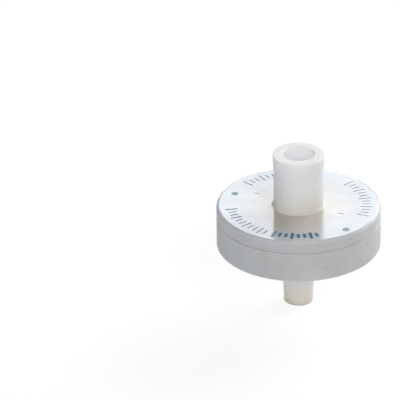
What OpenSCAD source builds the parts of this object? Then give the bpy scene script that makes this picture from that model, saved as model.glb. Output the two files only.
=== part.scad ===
// Syringe filter, 13 mm membrane, luer slip inlet and outlet.
//
// Two moulded polypropylene halves are welded round the rim with a filter
// membrane clamped between them. Liquid enters the female luer socket on
// top, spreads through the shallow chamber over the membrane, passes the
// membrane, runs along the drain channels of the support grid and leaves
// through the male luer tip.
//
// Frame: +Z up along the flow axis, inlet up. The origin is the centre of
// the outlet tip's end face, on which the filter stands.

/* [Membrane] */
// Diameter of the membrane disc, from which the housing takes its diameter
membrane_d = 13; // [11:0.5:30]
// Thickness of the membrane
membrane_t = 0.15; // [0.1:0.01:0.3]
// Width of the membrane's edge that the two halves clamp
clamp_w = 0.9; // [0.6:0.1:1.5]
// Play round the membrane's edge in its recess
membrane_play = 0.1; // [0.05:0.05:0.3]
// Height of the chamber above the membrane
chamber_h = 0.35; // [0.3:0.05:0.6]

/* [Housing] */
// Height of the rim above the seam, which is also the inlet face plate
inlet_rim_h = 1.75; // [1.2:0.05:3]
// Height of the rim below the seam
outlet_rim_h = 4.25; // [4:0.05:8]
// Rounding of the rim's upper and lower edges
edge_r = 0.4; // [0.1:0.05:0.6]
// Thickness of the rim wall and floor of the outlet half
wall = 1.5; // [1:0.1:2]
// Width of the small bevel on each side of the seam
seam_bevel = 0.1; // [0.05:0.01:0.2]

/* [Weld joint] */
// Clear width of the moat between the membrane seat and the rim wall
moat_w = 2; // [1.6:0.1:4]
// Thickness of the inlet half's tongue, which is welded into the moat
tongue_w = 0.9; // [0.6:0.1:1.2]
// Radial play between the tongue and the rim wall
tongue_play = 0.05; // [0.03:0.01:0.1]
// Room left under the tongue for melted plastic
flash_gap = 0.25; // [0.1:0.05:0.5]
// Lead-in bevel on the tongue's end
tongue_lead = 0.2; // [0.1:0.05:0.4]

/* [Inlet hub] */
// Height of the inlet hub above the face
hub_h = 7.6; // [7:0.1:12]
// Outer diameter of the hub
hub_d = 6.65; // [6.3:0.05:8]
// Height of the thicker collar at the mouth
collar_h = 0.9; // [0.5:0.1:2.5]
// Length of the slope from the collar back to the hub
collar_run = 1.6; // [0.3:0.1:3]
// How far the collar stands out from the hub
collar_step = 0.15; // [0.05:0.01:0.3]
// Rounding of the mouth's outer edge
lip_r = 0.1; // [0.1:0.05:0.4]
// Rounding of the mouth's inner edge
socket_lead_r = 0.1; // [0.05:0.05:0.2]
// Fillet where the hub meets the face
hub_fillet = 0.35; // [0.1:0.05:0.6]
// Bore of the female luer socket at its mouth
socket_d = 4.3; // [4.27:0.005:4.315]
// Thickness of the plastic left under the socket
socket_floor = 1.05; // [0.8:0.05:1.5]
// Diameter of the flow bore below the socket
inlet_bore_d = 1.8; // [1:0.1:2.6]

/* [Outlet tip] */
// Length of the tip below the housing
tip_len = 8.4; // [7.5:0.1:12]
// Diameter of the male luer tip at its end
tip_d = 3.96; // [3.925:0.005:3.99]
// Flow bore of the tip
tip_bore_d = 2; // [1:0.1:2.4]
// Rounding of the tip's outer end edge
tip_end_r = 0.2; // [0.1:0.05:0.4]
// Fillet where the tip meets the underside
tip_fillet = 0.4; // [0.1:0.05:1]

/* [Membrane support] */
// Width of the recess wall that fences the membrane in
fence_w = 0.9; // [0.6:0.1:1.5]
// Distance from one support ring to the next
ring_pitch = 0.9; // [0.7:0.05:1.5]
// Width of each drain groove between two rings
groove_w = 0.5; // [0.3:0.05:0.6]
// Depth of the drain grooves
groove_depth = 0.6; // [0.3:0.05:1]
// Number of radial drain channels across the rings
channels = 8; // [4:1:12]
// Width of a radial drain channel
channel_w = 0.5; // [0.4:0.05:0.8]
// Extra depth of the radial channels below the grooves
channel_drop = 0.3; // [0.1:0.05:0.6]

/* [Inlet spreader] */
// Number of radial ribs on the chamber's ceiling
spreaders = 8; // [4:1:12]
// Width of a ceiling rib
spreader_w = 0.4; // [0.3:0.05:0.8]
// Gap left between a ceiling rib and the membrane
spreader_gap = 0.1; // [0.05:0.05:0.2]

/* [Gate marks] */
// Diameter of the shallow moulding marks on the inlet face
gate_d = 0.8; // [0.4:0.1:1.5]
// Depth of a moulding mark
gate_depth = 0.05; // [0.05:0.01:0.2]
// Distance of the moulding marks from the axis
gate_ring_r = 6.3; // [5:0.1:8]
// Direction of the first moulding mark; the second is opposite
gate_angle = 152; // [0:1:360]

/* [Rim mark] */
// Width of the small moulding mark on the outlet half's rim
rim_mark_w = 0.8; // [0.4:0.1:1.5]
// Height of the rim mark
rim_mark_h = 0.25; // [0.15:0.05:0.5]
// Depth of the rim mark
rim_mark_depth = 0.05; // [0.05:0.01:0.1]
// Height of the rim mark's middle above the underside
rim_mark_up = 1.9; // [1:0.1:3]
// Direction of the rim mark
rim_mark_angle = 288; // [0:1:360]

/* [Hidden] */
$fn = 96;

// Cuts run this far past the faces they open
over = 0.5;
// Fillet stock and rounding waste reach this far past their corner
grip = 0.05;
// A 6 % taper on the diameter: half of it on the radius, per mm of length
luer_slope = 0.06 / 2;

// Radii, from the membrane outwards, and those of the hub
membrane_r = membrane_d / 2;
clamp_inner_r = membrane_r - clamp_w;
recess_r = membrane_r + membrane_play;
seat_r = recess_r + fence_w;
cup_wall_r = seat_r + moat_w;
body_r = cup_wall_r + wall;
tongue_outer_r = cup_wall_r - tongue_play;
tongue_inner_r = tongue_outer_r - tongue_w;
hub_r = hub_d / 2;
collar_r = hub_r + collar_step;

// Levels, counted up from the end face of the outlet tip
underside_z = tip_len;
seam_z = underside_z + outlet_rim_h;
face_z = seam_z + inlet_rim_h;
mouth_z = face_z + hub_h;
socket_floor_z = seam_z + socket_floor;
membrane_top_z = seam_z - chamber_h;
seat_z = membrane_top_z - membrane_t;
fence_z = seam_z - chamber_h / 2;
cup_floor_z = underside_z + wall;
tongue_end_z = cup_floor_z + flash_gap;
groove_z = seat_z - groove_depth;
channel_z = groove_z - channel_drop;

// Drain grooves are laid out inwards from the clamped edge to the outlet bore
grid_r = clamp_inner_r - groove_w / 2;
groove_count = 1 + floor((grid_r - tip_bore_d / 2 - groove_w) / ring_pitch);

// Radius of the female socket and of the male tip at a level
function socket_r(z) = socket_d / 2 - luer_slope * (mouth_z - z);
function tip_r(z) = tip_d / 2 + luer_slope * z;

// Stock that fills the corner between a wall on the left and a floor below
module fillet_2d(r) {
    difference() {
        translate([-grip, -grip]) square(r + grip);
        translate([r, r]) circle(r);
    }
}

// Waste that rounds an upper outer, a lower outer and an upper inner corner
module round_upper_2d(x, z, r) {
    translate([x, z]) mirror([0, 1]) mirror([1, 0]) fillet_2d(r);
}

module round_lower_2d(x, z, r) {
    translate([x, z]) mirror([1, 0]) fillet_2d(r);
}

module round_inner_2d(x, z, r) {
    translate([x, z]) mirror([0, 1]) fillet_2d(r);
}

// Waste to cut from an outer corner at [x, z] to bevel it both ways
module bevel_2d(x, z, w) {
    polygon([[x - w, z], [x + over, z - w - over], [x + over, z + w + over]]);
}

module annulus_2d(inner_r, outer_r, bottom_z, top_z) {
    translate([inner_r, bottom_z]) square([outer_r - inner_r, top_z - bottom_z]);
}

// ---- Inlet half: face plate, luer hub, clamp ring and weld tongue ----

module hub_2d() {
    annulus_2d(0, hub_r, seam_z, mouth_z);
    annulus_2d(0, collar_r, mouth_z - collar_h, mouth_z);
    // The collar runs out into the hub on a gentle slope
    polygon([
        [0, mouth_z - collar_h],
        [collar_r, mouth_z - collar_h],
        [hub_r, mouth_z - collar_h - collar_run],
        [0, mouth_z - collar_h - collar_run]
    ]);
    translate([hub_r, face_z]) fillet_2d(hub_fillet);
}

module socket_2d() {
    polygon([
        [0, mouth_z + over],
        [socket_r(mouth_z + over), mouth_z + over],
        [socket_r(socket_floor_z), socket_floor_z],
        [0, socket_floor_z]
    ]);
}

module tongue_2d() {
    polygon([
        [tongue_inner_r, seam_z],
        [tongue_inner_r, tongue_end_z],
        [tongue_outer_r - tongue_lead, tongue_end_z],
        [tongue_outer_r, tongue_end_z + tongue_lead],
        [tongue_outer_r, seam_z]
    ]);
}

module inlet_section() {
    difference() {
        union() {
            annulus_2d(0, body_r, seam_z, face_z);
            hub_2d();
            annulus_2d(clamp_inner_r, membrane_r, membrane_top_z, seam_z);
            tongue_2d();
        }
        socket_2d();
        annulus_2d(0, inlet_bore_d / 2, seam_z - over, socket_floor_z + over);
        round_upper_2d(body_r, face_z, edge_r);
        round_upper_2d(collar_r, mouth_z, lip_r);
        round_inner_2d(socket_r(mouth_z - socket_lead_r), mouth_z, socket_lead_r);
        bevel_2d(body_r, seam_z, seam_bevel);
    }
}

module spreader_ribs() {
    rib_h = chamber_h - spreader_gap;
    rib_start = inlet_bore_d / 2 + spreader_w;
    for (i = [0:spreaders - 1]) {
        rotate(i * 360 / spreaders)
            translate([rib_start, -spreader_w / 2, seam_z - rib_h])
                cube([clamp_inner_r - rib_start, spreader_w, rib_h]);
    }
}

module gate_marks() {
    for (i = [0, 1]) {
        rotate(gate_angle + i * 180)
            translate([gate_ring_r, 0, face_z - gate_depth])
                cylinder(h = gate_depth + over, d = gate_d);
    }
}

module inlet_housing() {
    color([0.93, 0.93, 0.92]) difference() {
        union() {
            rotate_extrude() inlet_section();
            spreader_ribs();
        }
        gate_marks();
    }
}

// ---- Outlet half: cup, membrane support grid and luer tip ----

module tip_2d() {
    polygon([
        [0, 0],
        [tip_r(0), 0],
        [tip_r(underside_z), underside_z],
        [0, underside_z]
    ]);
    translate([tip_r(underside_z - tip_fillet), underside_z]) mirror([0, 1]) fillet_2d(tip_fillet);
}

module outlet_section() {
    difference() {
        union() {
            annulus_2d(0, body_r, underside_z, cup_floor_z);
            annulus_2d(cup_wall_r, body_r, underside_z, seam_z);
            annulus_2d(0, seat_r, underside_z, fence_z);
            tip_2d();
        }
        annulus_2d(0, recess_r, seat_z, fence_z + over);
        round_lower_2d(body_r, underside_z, edge_r);
        round_lower_2d(tip_r(tip_end_r), 0, tip_end_r);
        bevel_2d(body_r, seam_z, seam_bevel);
    }
}

// Concentric drain grooves, with the support rings left between them
module drain_grooves() {
    for (i = [0:groove_count - 1]) {
        groove_r = grid_r - i * ring_pitch;
        rotate_extrude()
            annulus_2d(groove_r - groove_w / 2, groove_r + groove_w / 2, groove_z, seat_z + over);
    }
}

// Radial channels that lead every groove to the outlet bore
module drain_channels() {
    for (i = [0:channels - 1]) {
        rotate((i + 0.5) * 360 / channels)
            translate([0, -channel_w / 2, channel_z])
                cube([grid_r, channel_w, seat_z + over - channel_z]);
    }
}

// Shallow nick where the moulded half broke off its runner
module rim_mark() {
    rotate(rim_mark_angle)
        translate([body_r - rim_mark_depth, -rim_mark_w / 2, underside_z + rim_mark_up - rim_mark_h / 2])
            cube([rim_mark_depth + over, rim_mark_w, rim_mark_h]);
}

module outlet_housing() {
    color([0.90, 0.90, 0.89]) difference() {
        rotate_extrude() outlet_section();
        drain_grooves();
        drain_channels();
        rim_mark();
        translate([0, 0, -over]) cylinder(h = seat_z + 2 * over, d = tip_bore_d);
    }
}

// ---- Membrane ----

module filter_membrane() {
    color([0.97, 0.97, 0.95])
        translate([0, 0, seat_z]) cylinder(h = membrane_t, r = membrane_r);
}

outlet_housing();
inlet_housing();
filter_membrane();
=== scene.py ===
import math

import bmesh
import bpy
from mathutils import Matrix, Vector


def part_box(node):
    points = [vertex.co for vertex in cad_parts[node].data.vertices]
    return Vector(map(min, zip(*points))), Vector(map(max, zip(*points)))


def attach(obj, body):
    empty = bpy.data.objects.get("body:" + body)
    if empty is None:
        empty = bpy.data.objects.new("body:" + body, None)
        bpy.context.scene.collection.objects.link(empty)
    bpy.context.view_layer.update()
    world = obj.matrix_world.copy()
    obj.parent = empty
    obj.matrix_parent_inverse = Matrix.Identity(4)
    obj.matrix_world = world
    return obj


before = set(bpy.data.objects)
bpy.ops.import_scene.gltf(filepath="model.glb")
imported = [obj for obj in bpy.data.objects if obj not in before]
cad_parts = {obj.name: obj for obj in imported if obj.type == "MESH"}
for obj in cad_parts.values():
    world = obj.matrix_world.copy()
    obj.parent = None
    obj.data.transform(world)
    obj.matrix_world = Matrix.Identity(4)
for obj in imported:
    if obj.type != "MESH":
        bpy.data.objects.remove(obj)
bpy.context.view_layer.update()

# ---- Sizes, in metres, from the frame and from the part's own dimensions ----

MM = 0.001
SEAM_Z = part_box("outlet_housing")[1].z
MOUTH_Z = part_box("inlet_housing")[1].z
RIM_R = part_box("inlet_housing")[1].x
MEMBRANE_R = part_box("filter_membrane")[1].x
# Level of the flat inlet face
FACE_Z = SEAM_Z + 1.75 * MM
# Levels between which the face's grey and polish turn into the hub's satin and its
# colour, which is painted lighter for the light through its thin wall
HUB_START = FACE_Z + 0.01 * MM
HUB_FOOT = FACE_Z + 0.06 * MM
# Radius of the inlet socket at its mouth
SOCKET_R = 2.15 * MM
# Level of the disc's underside, which is also the tip's length
UNDERSIDE_Z = 8.4 * MM

# ---- Nodes and colours ----


def linear(hex_code):
    """The linear colour, with its alpha, of an sRGB hex value such as "d8d9d6"."""
    channels = [int(hex_code[i:i + 2], 16) / 255 for i in (0, 2, 4)]
    return [c / 12.92 if c <= 0.04045 else ((c + 0.055) / 1.055) ** 2.4
            for c in channels] + [1.0]


def add(tree, kind, sockets=None, **settings):
    """Adds a node with its settings, and gives its sockets their values or links."""
    node = tree.nodes.new(kind)
    for name, value in settings.items():
        setattr(node, name, value)
    for socket, source in (sockets or {}).items():
        if isinstance(source, bpy.types.NodeSocket):
            tree.links.new(source, node.inputs[socket])
        else:
            node.inputs[socket].default_value = source
    return node


def new_material(name):
    """A material with an empty node tree, and that tree."""
    material = bpy.data.materials.new(name)
    material.use_nodes = True
    material.node_tree.nodes.clear()
    return material, material.node_tree


# ---- Natural polypropylene ----

# Furthest that light travels inside the plastic
LONGEST_REACH = 5 * MM
# Between this level and the seam the plastic is plate, which shows the membrane and
# takes the painted warm light round the hub
PLATE_TOP = FACE_Z + 0.02 * MM
# The radii between which the creamy disc of membrane and painted warm light fades out
CREAM_INNER_R = 0.6 * MEMBRANE_R
CREAM_OUTER_R = 1.55 * MEMBRANE_R
# Width over which the white of the socket fades out, inside its lip
SOCKET_FADE = 0.1 * MM
# Within this radius only the gate marks lie this far below the face
GATE_LIMIT_R = 0.9 * RIM_R
GATE_SUNK = 0.002 * MM
# How far below the face the polish starts, and where it is full
POLISH_START = 0.09 * MM
POLISH_FULL = 0.008 * MM
SATIN_ROUGHNESS = 0.5
POLISHED_ROUGHNESS = 0.15
# Width of the milky clouds, and how much taller than wide they are
CLOUD_WIDTH = 3 * MM
CLOUD_STRETCH = 2.5
# Width and depth of the satin's grain and of the sink waves in the face
GRAIN_WIDTH = 0.25 * MM
GRAIN_DEPTH = 0.004 * MM
SINK_WIDTH = 4 * MM
SINK_DEPTH = 0.03 * MM


def wall_colour(tree, height, stops):
    """Colour by height, from stop to stop, and in the alpha the reach of light."""
    low, high = stops[0][0], stops[-1][0]
    along = add(tree, "ShaderNodeMapRange",
                {"Value": height, "From Min": low, "From Max": high})
    wall = add(tree, "ShaderNodeValToRGB", {"Fac": along.outputs["Result"]})
    elements = wall.color_ramp.elements
    while len(elements) < len(stops):
        elements.new(1.0)
    for element, (level, hex_code, reach) in zip(elements, stops):
        element.position = (level - low) / (high - low)
        element.color = linear(hex_code)[:3] + [reach / LONGEST_REACH]
    return wall


def plastic_colour(tree, place, height, wall):
    """The wall's colour, changed by membrane and painted warm light, by gate marks
    painted lighter, by painted light in the socket, and by clouds.

    Sockets 6 and 7 of a Mix node are its two colours, and output 2 the mixed one.
    """
    flat = add(tree, "ShaderNodeVectorMath", {0: place, 1: (1, 1, 0)},
               operation="MULTIPLY")
    radius = add(tree, "ShaderNodeVectorMath", {0: flat.outputs[0]},
                 operation="LENGTH").outputs["Value"]
    above_seam = add(tree, "ShaderNodeMath", {0: height, 1: SEAM_Z},
                     operation="GREATER_THAN")

    # The membrane shows through the plate, with painted warm light from the hub's foot,
    # as a creamy disc with a soft edge
    cream = add(tree, "ShaderNodeMapRange",
                {"Value": radius, "From Min": CREAM_INNER_R, "From Max": CREAM_OUTER_R,
                 "To Min": 1.0, "To Max": 0.0},
                interpolation_type="SMOOTHSTEP")
    below_top = add(tree, "ShaderNodeMath", {0: height, 1: PLATE_TOP},
                    operation="LESS_THAN")
    in_plate = add(tree, "ShaderNodeMath",
                   {0: below_top.outputs[0], 1: above_seam.outputs[0]},
                   operation="MULTIPLY")
    cream = add(tree, "ShaderNodeMath",
                {0: cream.outputs["Result"], 1: in_plate.outputs[0]},
                operation="MULTIPLY")
    creamed = add(tree, "ShaderNodeMix",
                  {0: cream.outputs[0], 6: wall.outputs["Color"], 7: linear("c4bcb2")},
                  data_type="RGBA")

    # The plastic is stress-whitened in the two shallow gate marks, where the runners
    # broke off, and painted lighter there to lift the shade in their pits
    sunk = add(tree, "ShaderNodeMath", {0: height, 1: FACE_Z - GATE_SUNK},
               operation="LESS_THAN")
    inside = add(tree, "ShaderNodeMath", {0: radius, 1: GATE_LIMIT_R},
                 operation="LESS_THAN")
    gates = add(tree, "ShaderNodeMath", {0: sunk.outputs[0], 1: inside.outputs[0]},
                operation="MULTIPLY")
    gates = add(tree, "ShaderNodeMath",
                {0: gates.outputs[0], 1: above_seam.outputs[0]},
                operation="MULTIPLY")
    whitened_and_lit_gates = add(tree, "ShaderNodeMix",
               {0: gates.outputs[0], 6: creamed.outputs[2], 7: linear("dad9d6")},
               data_type="RGBA")

    # Light gathers in the socket, so its wall and floor are the whitest part
    socket = add(tree, "ShaderNodeMapRange",
                 {"Value": radius, "From Min": SOCKET_R,
                  "From Max": SOCKET_R + SOCKET_FADE, "To Min": 1.0, "To Max": 0.0})
    lit = add(tree, "ShaderNodeMath",
              {0: socket.outputs["Result"], 1: above_seam.outputs[0]},
              operation="MULTIPLY")
    whitened = add(tree, "ShaderNodeMix",
                   {0: lit.outputs[0], 6: whitened_and_lit_gates.outputs[2], 7: linear("fdfdff")},
                   data_type="RGBA")

    # Milky clouds, up to a tenth whiter, where the plastic froze at different speeds
    drawn = add(tree, "ShaderNodeVectorMath", {0: place, 1: (1, 1, 1 / CLOUD_STRETCH)},
                operation="MULTIPLY")
    clouds = add(tree, "ShaderNodeTexNoise",
                 {"Vector": drawn.outputs[0], "Scale": 1 / CLOUD_WIDTH, "Detail": 2.0})
    cloud = add(tree, "ShaderNodeMapRange",
                {"Value": clouds.outputs["Fac"], "From Min": 0.35, "From Max": 0.65,
                 "To Min": 0.0, "To Max": 0.1})
    return add(tree, "ShaderNodeMix",
               {0: cloud.outputs["Result"], 6: whitened.outputs[2],
                7: linear("ffffff")},
               data_type="RGBA").outputs[2]


def face_polish(tree, height):
    """1 on the flat face and the very top of the rim's rounded edge, 0 on the rest."""
    rise = add(tree, "ShaderNodeMapRange",
               {"Value": height, "From Min": FACE_Z - POLISH_START,
                "From Max": FACE_Z - POLISH_FULL},
               interpolation_type="SMOOTHSTEP")
    fall = add(tree, "ShaderNodeMapRange",
               {"Value": height, "From Min": HUB_START, "From Max": HUB_FOOT,
                "To Min": 1.0, "To Max": 0.0},
               interpolation_type="SMOOTHSTEP")
    return add(tree, "ShaderNodeMath",
               {0: rise.outputs["Result"], 1: fall.outputs["Result"]},
               operation="MULTIPLY").outputs[0]


def plastic_relief(tree, place, polish):
    """Grain where the plastic is satin, and sink waves where it is polished."""
    # Grain of the eroded tool, drawn wide because its own 0.03 mm is too fine to show
    grain = add(tree, "ShaderNodeTexNoise",
                {"Vector": place, "Scale": 1 / GRAIN_WIDTH, "Detail": 3.0})
    satin = add(tree, "ShaderNodeMath", {0: 1.0, 1: polish}, operation="SUBTRACT")
    depth = add(tree, "ShaderNodeMath",
                {0: grain.outputs["Fac"], 1: satin.outputs[0]},
                operation="MULTIPLY")
    grained = add(tree, "ShaderNodeBump",
                  {"Height": depth.outputs[0], "Distance": GRAIN_DEPTH,
                   "Strength": 0.6})
    # The face sank a little as it cooled, in waves that bend what it mirrors
    waves = add(tree, "ShaderNodeTexNoise",
                {"Vector": place, "Scale": 1 / SINK_WIDTH, "Detail": 1.0})
    sink = add(tree, "ShaderNodeMath", {0: waves.outputs["Fac"], 1: polish},
               operation="MULTIPLY")
    return add(tree, "ShaderNodeBump",
               {"Height": sink.outputs[0], "Distance": SINK_DEPTH, "Strength": 1.0,
                "Normal": grained.outputs["Normal"]}).outputs["Normal"]


def natural_polypropylene(name, stops):
    """Natural polypropylene, injection moulded, without pigment.

    It is milky and lets light some way in, so edges glow softly, and thin
    walls such as those of the hub and tip look lighter than the thick disc; their
    colours are also painted lighter for that light.
    The flat face comes off a lapped tool and mirrors what stands on it; the
    rest has the satin of a fine eroded tool.

    Each stop is a height, the colour there and how far light travels in it.
    """
    material, tree = new_material(name)
    place = add(tree, "ShaderNodeTexCoord").outputs["Object"]
    height = add(tree, "ShaderNodeSeparateXYZ", {0: place}).outputs["Z"]
    wall = wall_colour(tree, height, stops)
    colour = plastic_colour(tree, place, height, wall)
    polish = face_polish(tree, height)
    roughness = add(tree, "ShaderNodeMapRange",
                    {"Value": polish, "From Min": 0.0, "From Max": 1.0,
                     "To Min": SATIN_ROUGHNESS, "To Max": POLISHED_ROUGHNESS})
    reach = add(tree, "ShaderNodeMath", {0: wall.outputs["Alpha"], 1: LONGEST_REACH},
                operation="MULTIPLY")
    # Red travels furthest in it and blue least
    shader = add(tree, "ShaderNodeBsdfPrincipled",
                 {"Base Color": colour, "Roughness": roughness.outputs["Result"],
                  "Normal": plastic_relief(tree, place, polish), "IOR": 1.49,
                  "Subsurface Weight": 1.0, "Subsurface Radius": (1.0, 0.97, 0.92),
                  "Subsurface Scale": reach.outputs[0]})
    add(tree, "ShaderNodeOutputMaterial", {"Surface": shader.outputs[0]})
    return material


# ---- Membrane and ink ----

# Pores are drawn this wide, because their own 0.45 micrometres never show
PORE_WIDTH = 0.05 * MM
PORE_DEPTH = 0.005 * MM
# The pad lets go of the ink in specks this wide
SPECK_WIDTH = 0.15 * MM
SPECK_DEPTH = 0.001 * MM


def porous_membrane():
    """Cast polymer membrane: bright white, quite matt, and rough with tiny pores."""
    material, tree = new_material("porous_membrane")
    place = add(tree, "ShaderNodeTexCoord").outputs["Object"]
    pores = add(tree, "ShaderNodeTexVoronoi",
                {"Vector": place, "Scale": 1 / PORE_WIDTH})
    bump = add(tree, "ShaderNodeBump",
               {"Height": pores.outputs["Distance"], "Distance": PORE_DEPTH,
                "Strength": 0.5})
    tone = add(tree, "ShaderNodeMix",
               {0: pores.outputs["Distance"], 6: linear("f2f1ec"), 7: linear("fbfaf6")},
               data_type="RGBA")
    shader = add(tree, "ShaderNodeBsdfPrincipled",
                 {"Base Color": tone.outputs[2], "Normal": bump.outputs["Normal"],
                  "Roughness": 0.85, "IOR": 1.42})
    add(tree, "ShaderNodeOutputMaterial", {"Surface": shader.outputs[0]})
    return material


def printed_blue_ink():
    """Pad-printed ink: a thin, slightly uneven blue film that dries half glossy.

    Blues of this kind bronze: their gloss is faintly coppery, so the print
    turns grey where a lamp is mirrored and is a clear blue elsewhere.
    """
    material, tree = new_material("printed_blue_ink")
    place = add(tree, "ShaderNodeTexCoord").outputs["Object"]
    specks = add(tree, "ShaderNodeTexNoise",
                 {"Vector": place, "Scale": 1 / SPECK_WIDTH, "Detail": 2.0})
    cover = add(tree, "ShaderNodeMapRange",
                {"Value": specks.outputs["Fac"], "From Min": 0.35, "From Max": 0.7,
                 "To Min": 0.0, "To Max": 0.45})
    tone = add(tree, "ShaderNodeMix",
               {0: cover.outputs["Result"], 6: linear("0c5676"), 7: linear("4788a6")},
               data_type="RGBA")
    bump = add(tree, "ShaderNodeBump",
               {"Height": specks.outputs["Fac"], "Distance": SPECK_DEPTH,
                "Strength": 0.4})
    shader = add(tree, "ShaderNodeBsdfPrincipled",
                 {"Base Color": tone.outputs[2], "Normal": bump.outputs["Normal"],
                  "Roughness": 0.3, "IOR": 1.5, "Specular Tint": linear("ffe6c4")})
    add(tree, "ShaderNodeOutputMaterial", {"Surface": shader.outputs[0]})
    return material


# ---- The print on the face ----

# Ink film, a little thicker than real so that it stands clear of the face
INK_THICKNESS = 0.02 * MM
PRINT_R = 9.1 * MM
TICK_LONG = 1.7 * MM
TICK_SHORT = 1.1 * MM
# Every third tick of a group is a long one
LONG_EVERY = 3
TICK_PITCH = math.radians(5.2)
# Each group of ticks: the direction of its first tick in degrees, their number,
# and their width
TICK_GROUPS = [(107, 7, 0.16 * MM), (-20, 13, 0.1 * MM), (189, 11, 0.19 * MM),
               (249, 8, 0.42 * MM)]
DOT_R = 0.47 * MM
# Direction in degrees and distance from the axis of the two index dots
DOTS = [(160, 9.1 * MM), (311, 9.6 * MM)]
# Steps in the half circle at a tick's end, and in a whole dot
ARC_STEPS = 8
DOT_STEPS = 32


def stadium(width, length):
    """Outline of a bar with round ends, along X."""
    r = width / 2
    half = length / 2 - r
    arc = [math.pi * (i / ARC_STEPS - 0.5) for i in range(ARC_STEPS + 1)]
    end = [Vector((half + r * math.cos(a), r * math.sin(a), 0)) for a in arc]
    return end + [-p for p in end]


def circle(r, steps):
    """Points on a circle round the axis."""
    turns = [2 * math.pi * i / steps for i in range(steps)]
    return [Vector((r * math.cos(a), r * math.sin(a), 0)) for a in turns]


def lay_ink(mesh, outline, direction, distance):
    """Adds a thin closed slab of ink on the face, pointing away from the axis."""
    turn = Matrix.Rotation(direction, 4, "Z")
    place = turn @ Matrix.Translation((distance, 0, FACE_Z))
    thickness = Vector((0, 0, INK_THICKNESS))
    low = [mesh.verts.new(place @ p) for p in outline]
    high = [mesh.verts.new(place @ (p + thickness)) for p in outline]
    mesh.faces.new(high)
    mesh.faces.new(low[::-1])
    for i in range(len(outline)):
        j = (i + 1) % len(outline)
        mesh.faces.new([low[i], low[j], high[j], high[i]])


def make_print():
    """The plain index ticks and dots, all of one pad print."""
    mesh = bmesh.new()
    for start, count, width in TICK_GROUPS:
        for i in range(count):
            length = TICK_SHORT if i % LONG_EVERY else TICK_LONG
            direction = math.radians(start) + i * TICK_PITCH
            lay_ink(mesh, stadium(width, length), direction, PRINT_R)
    for direction, distance in DOTS:
        lay_ink(mesh, circle(DOT_R, DOT_STEPS), math.radians(direction), distance)
    data = bpy.data.meshes.new("face_print")
    mesh.to_mesh(data)
    mesh.free()
    piece = bpy.data.objects.new("face_print", data)
    bpy.context.scene.collection.objects.link(piece)
    data.materials.append(printed_blue_ink())
    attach(piece, "root")


# ---- Finishes of the CAD's own pieces ----

# The grey of the thick plate and disc, and how far light travels in each part
PLATE_GREY = "c3c4c5"
PLATE_REACH = 0.8 * MM
HUB_REACH = 2.5 * MM
TIP_REACH = 2.5 * MM


def dress(node, material):
    """Gives a CAD node its finish."""
    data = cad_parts[node].data
    data.materials.clear()
    data.materials.append(material)


def dress_filter():
    """Gives both halves their plastic, and the membrane its own material."""
    # The plate is thick and grey; the hub above it is thin and milky, painted lighter
    # for the light that comes through its wall, with painted warm light at its foot
    dress("inlet_housing", natural_polypropylene("inlet_polypropylene", [
        (HUB_START, PLATE_GREY, PLATE_REACH),
        (HUB_FOOT, "e6e2da", 1.2 * MM),
        (FACE_Z + 1.5 * MM, "e7e6e1", 2.0 * MM),
        (FACE_Z + 4.0 * MM, "e9e9e9", HUB_REACH),
        (MOUTH_Z - 0.4 * MM, "e0e0e0", HUB_REACH),
        (MOUTH_Z - 0.05 * MM, "eae8e3", 0.5 * MM)]))
    # The tip is thin too, painted near white for the light that comes through its wall,
    # and warmest at its end with painted warm light
    dress("outlet_housing", natural_polypropylene("outlet_polypropylene", [
        (0, "f8e1cc", TIP_REACH),
        (5.0 * MM, "fdfaf5", TIP_REACH),
        (UNDERSIDE_Z - 0.5 * MM, "fdfcf9", TIP_REACH),
        (UNDERSIDE_Z, PLATE_GREY, PLATE_REACH)]))
    dress("filter_membrane", porous_membrane())


# ---- Studio ----

FLOOR_R = 3.0
# Hole in the floor under the tip's end, and the steps of its edge and of the floor's
FLOOR_HOLE_R = 1.5 * MM
FLOOR_STEPS = 64


def pale_floor():
    """White paper, which the camera sees lifted to the backdrop's white."""
    material, tree = new_material("pale_floor")
    rays = add(tree, "ShaderNodeLightPath")
    paper = add(tree, "ShaderNodeBsdfDiffuse", {"Color": linear("f0f0f0")})
    shade = add(tree, "ShaderNodeBsdfDiffuse", {"Color": linear("959595")})
    lift = add(tree, "ShaderNodeEmission",
               {"Color": linear("ffffff"), "Strength": 0.78})
    lifted = add(tree, "ShaderNodeAddShader", {0: shade.outputs[0], 1: lift.outputs[0]})
    seen = add(tree, "ShaderNodeMixShader",
               {0: rays.outputs["Is Camera Ray"], 1: paper.outputs[0],
                2: lifted.outputs[0]})
    # From below the sheet is clear, so that the underside can be looked at
    back = add(tree, "ShaderNodeNewGeometry").outputs["Backfacing"]
    clear = add(tree, "ShaderNodeBsdfTransparent")
    both = add(tree, "ShaderNodeMixShader",
               {0: back, 1: seen.outputs[0], 2: clear.outputs[0]})
    add(tree, "ShaderNodeOutputMaterial", {"Surface": both.outputs[0]})
    return material


def make_floor():
    """A wide round sheet that the tip stands on.

    The end of the tip covers a hole in it, through which light reaches that
    end, so that it is not dark when it is looked at from below.
    """
    mesh = bmesh.new()
    inner = [mesh.verts.new(p) for p in circle(FLOOR_HOLE_R, FLOOR_STEPS)]
    outer = [mesh.verts.new(p) for p in circle(FLOOR_R, FLOOR_STEPS)]
    for i in range(FLOOR_STEPS):
        j = (i + 1) % FLOOR_STEPS
        mesh.faces.new([inner[i], outer[i], outer[j], inner[j]])
    data = bpy.data.meshes.new("floor")
    mesh.to_mesh(data)
    mesh.free()
    floor = bpy.data.objects.new("floor", data)
    bpy.context.scene.collection.objects.link(floor)
    data.materials.append(pale_floor())


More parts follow.
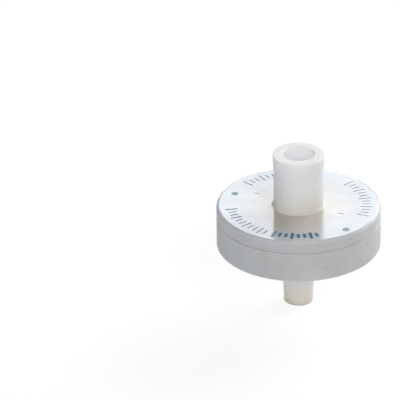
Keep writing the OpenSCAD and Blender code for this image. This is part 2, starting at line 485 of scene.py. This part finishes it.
def softbox(name, place, width, height, radiance, colour="ffffff"):
    """A rectangular lamp aimed at the face's middle. A radiance of 1 is white."""
    data = bpy.data.lights.new(name, "AREA")
    data.shape = "RECTANGLE"
    data.size = width
    data.size_y = height
    data.energy = radiance * math.pi * width * height
    data.color = linear(colour)[:3]
    lamp = bpy.data.objects.new(name, data)
    bpy.context.scene.collection.objects.link(lamp)
    lamp.location = place
    aim = Vector((0, 0, FACE_Z)) - Vector(place)
    lamp.rotation_euler = aim.to_track_quat("-Z", "Y").to_euler()


def make_world():
    """A pale room, white to the camera and in reflections."""
    world = bpy.data.worlds.new("studio")
    bpy.context.scene.world = world
    world.use_nodes = True
    tree = world.node_tree
    tree.nodes.clear()
    rays = add(tree, "ShaderNodeLightPath")
    shown = add(tree, "ShaderNodeMath",
                {0: rays.outputs["Is Camera Ray"], 1: rays.outputs["Is Glossy Ray"]},
                operation="MAXIMUM")
    shown = add(tree, "ShaderNodeMath",
                {0: shown.outputs[0], 1: rays.outputs["Is Transmission Ray"]},
                operation="MAXIMUM")
    # The room is a little dimmer on the left than on the right
    direction = add(tree, "ShaderNodeTexCoord").outputs["Generated"]
    towards = add(tree, "ShaderNodeSeparateXYZ", {0: direction})
    across = add(tree, "ShaderNodeMapRange",
                 {"Value": towards.outputs["X"], "From Min": -1.0, "From Max": 1.0})
    walls = add(tree, "ShaderNodeMix",
                {0: across.outputs["Result"], 6: linear("676664"), 7: linear("8f8e8c")},
                data_type="RGBA")
    # Below the floor it is brighter, for the end of the tip, which faces down
    above = add(tree, "ShaderNodeMath", {0: towards.outputs["Z"], 1: 0.0},
                operation="GREATER_THAN")
    room = add(tree, "ShaderNodeMix",
               {0: above.outputs[0], 6: linear("9c9c9c"), 7: walls.outputs[2]},
               data_type="RGBA")
    colour = add(tree, "ShaderNodeMix",
                 {0: shown.outputs[0], 6: room.outputs[2], 7: linear("ffffff")},
                 data_type="RGBA")
    backdrop = add(tree, "ShaderNodeBackground",
                   {"Color": colour.outputs[2], "Strength": 1.0})
    add(tree, "ShaderNodeOutputWorld", {"Surface": backdrop.outputs[0]})


def make_lamps():
    """Four softboxes round the filter, 0.6 to 0.7 m away."""
    # Behind and above, where the polished face mirrors it towards the camera
    softbox("back_softbox", place=(0.09, 0.55, 0.30), width=0.38, height=0.26,
            radiance=4.1, colour="ecf4ff")
    # Behind on the right, the main light
    softbox("key_softbox", place=(0.42, 0.45, 0.30), width=0.35, height=0.30,
            radiance=9.2, colour="f7faff")
    # High in front on the right
    softbox("front_softbox", place=(0.236, -0.41, 0.384), width=0.35, height=0.35,
            radiance=3.65)
    # Low in front on the left, a fill that reaches the tip under the disc
    softbox("fill_softbox", place=(-0.415, -0.415, 0.139), width=0.35, height=0.35,
            radiance=2.6, colour="f6f9ff")


# ---- Camera ----

CAMERA_DISTANCE = 0.9
CAMERA_ELEVATION = math.radians(27.6)
CAMERA_NEAR = 0.05
CAMERA_FAR = 20
# The filter stands right of the middle of the view and a little low, so the
# camera looks past it to the left and just above its centre
LOOK_AT = Vector((-13.2 * MM, 0, 12 * MM))
LOOK_UP = 2.7 * MM
# Focal length and sensor width, in the camera's own millimetres
LENS = 605
SENSOR = 36


def make_camera():
    """A long lens in front of the filter, looking down at its face."""
    data = bpy.data.cameras.new("camera")
    data.sensor_width = SENSOR
    data.lens = LENS
    data.clip_start = CAMERA_NEAR
    data.clip_end = CAMERA_FAR
    camera = bpy.data.objects.new("camera", data)
    bpy.context.scene.collection.objects.link(camera)
    back = Vector((0, -math.cos(CAMERA_ELEVATION), math.sin(CAMERA_ELEVATION)))
    above = Vector((0, math.sin(CAMERA_ELEVATION), math.cos(CAMERA_ELEVATION)))
    camera.location = Vector((0, 0, LOOK_AT.z)) + back * CAMERA_DISTANCE
    gaze = (LOOK_AT + above * LOOK_UP - camera.location).normalized()
    # Turned about its own upright, so that the filter's axis stays upright in the view
    right = gaze.cross(above).normalized()
    turn = Matrix((right, right.cross(gaze), -gaze)).transposed()
    camera.rotation_euler = turn.to_euler()
    bpy.context.scene.camera = camera


dress_filter()
make_print()
make_floor()
make_world()
make_lamps()
make_camera()
bpy.context.scene.view_settings.view_transform = "Standard"
